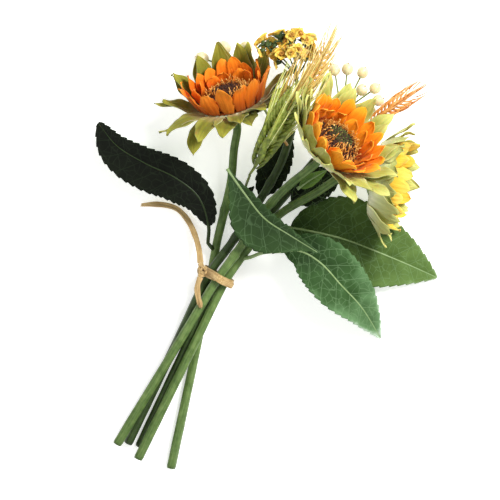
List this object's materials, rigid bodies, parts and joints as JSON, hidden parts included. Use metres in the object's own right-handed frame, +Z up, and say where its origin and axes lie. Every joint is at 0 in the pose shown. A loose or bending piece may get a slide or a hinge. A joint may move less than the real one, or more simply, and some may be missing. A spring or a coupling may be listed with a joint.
{
  "type": "artificial sunflower bunch",
  "caption": "Tied bunch of artificial sunflowers in orange and yellow with green leaves, cereal ears, cream berries and small yellow blossoms, lying on its back.",
  "frame": {"origin": "on the resting surface, under the middle of the bunch's box", "axes": "+Z up from the surface; the bunch lies on its back with its stems along Y, cut ends towards -Y and flowers towards +Y; X runs across it"},
  "size_m": [0.2462, 0.3148, 0.114],
  "materials": {
    "stem_plastic": "satin moulded",
    "leaf_fabric": "matte printed",
    "sepal_fabric": "matte printed",
    "petal_orange": "matte dyed",
    "petal_yellow": "matte dyed",
    "disc_flock": "flocked",
    "ear_green_plastic": "satin moulded",
    "ear_gold_plastic": "satin moulded",
    "berry_foam": "satin coated",
    "blossom_fabric": "matte dyed",
    "wire_green": "satin coated",
    "raffia": "matte fibrous"
  },
  "bodies": {
    "root": {"flower_left_calyx": "stem_plastic", "flower_left_sepals_outer": "sepal_fabric", "flower_left_sepals_inner": "sepal_fabric", "flower_left_petals_outer": "petal_orange", "flower_left_petals_inner": "petal_orange", "flower_left_disc": "disc_flock", "flower_front_calyx": "stem_plastic", "flower_front_sepals_outer": "sepal_fabric", "flower_front_sepals_inner": "sepal_fabric", "flower_front_petals_outer": "petal_orange", "flower_front_petals_inner": "petal_orange", "flower_front_disc": "disc_flock", "flower_right_calyx": "stem_plastic", "flower_right_sepals_outer": "sepal_fabric", "flower_right_sepals_inner": "sepal_fabric", "flower_right_petals_outer": "petal_yellow", "flower_right_petals_inner": "petal_yellow", "flower_right_disc": "disc_flock", "stem_flower_left": "stem_plastic", "stem_flower_front": "stem_plastic", "stem_flower_right": "stem_plastic", "stem_blossoms": "stem_plastic", "stem_berries": "stem_plastic", "leaf_left": "leaf_fabric", "leaf_front": "leaf_fabric", "leaf_lower_right": "leaf_fabric", "leaf_right": "leaf_fabric", "leaf_under_stems": "leaf_fabric", "leaf_behind": "leaf_fabric", "leaf_small": "leaf_fabric", "leaf_sliver": "leaf_fabric", "ear_green": "ear_green_plastic", "ear_gold": "ear_gold_plastic", "ear_brown": "ear_gold_plastic", "berry_left_1": "berry_foam", "berry_left_2": "berry_foam", "berry_left_3": "berry_foam", "berry_right_1": "berry_foam", "berry_right_2": "berry_foam", "berry_right_3": "berry_foam", "berry_right_4": "berry_foam", "berry_right_5": "berry_foam", "berry_right_6": "berry_foam", "berry_right_7": "berry_foam", "berry_right_8": "berry_foam", "blossom_1": "blossom_fabric", "blossom_2": "blossom_fabric", "blossom_3": "blossom_fabric", "blossom_4": "blossom_fabric", "blossom_5": "blossom_fabric", "blossom_6": "blossom_fabric", "blossom_7": "blossom_fabric", "berry_spray_left": "wire_green", "berry_spray_right": "wire_green", "blossom_spray": "wire_green", "raffia_band": "raffia", "raffia_knot": "raffia", "raffia_tail_long": "raffia", "raffia_tail_short": "raffia"}
  },
  "joints": []
}
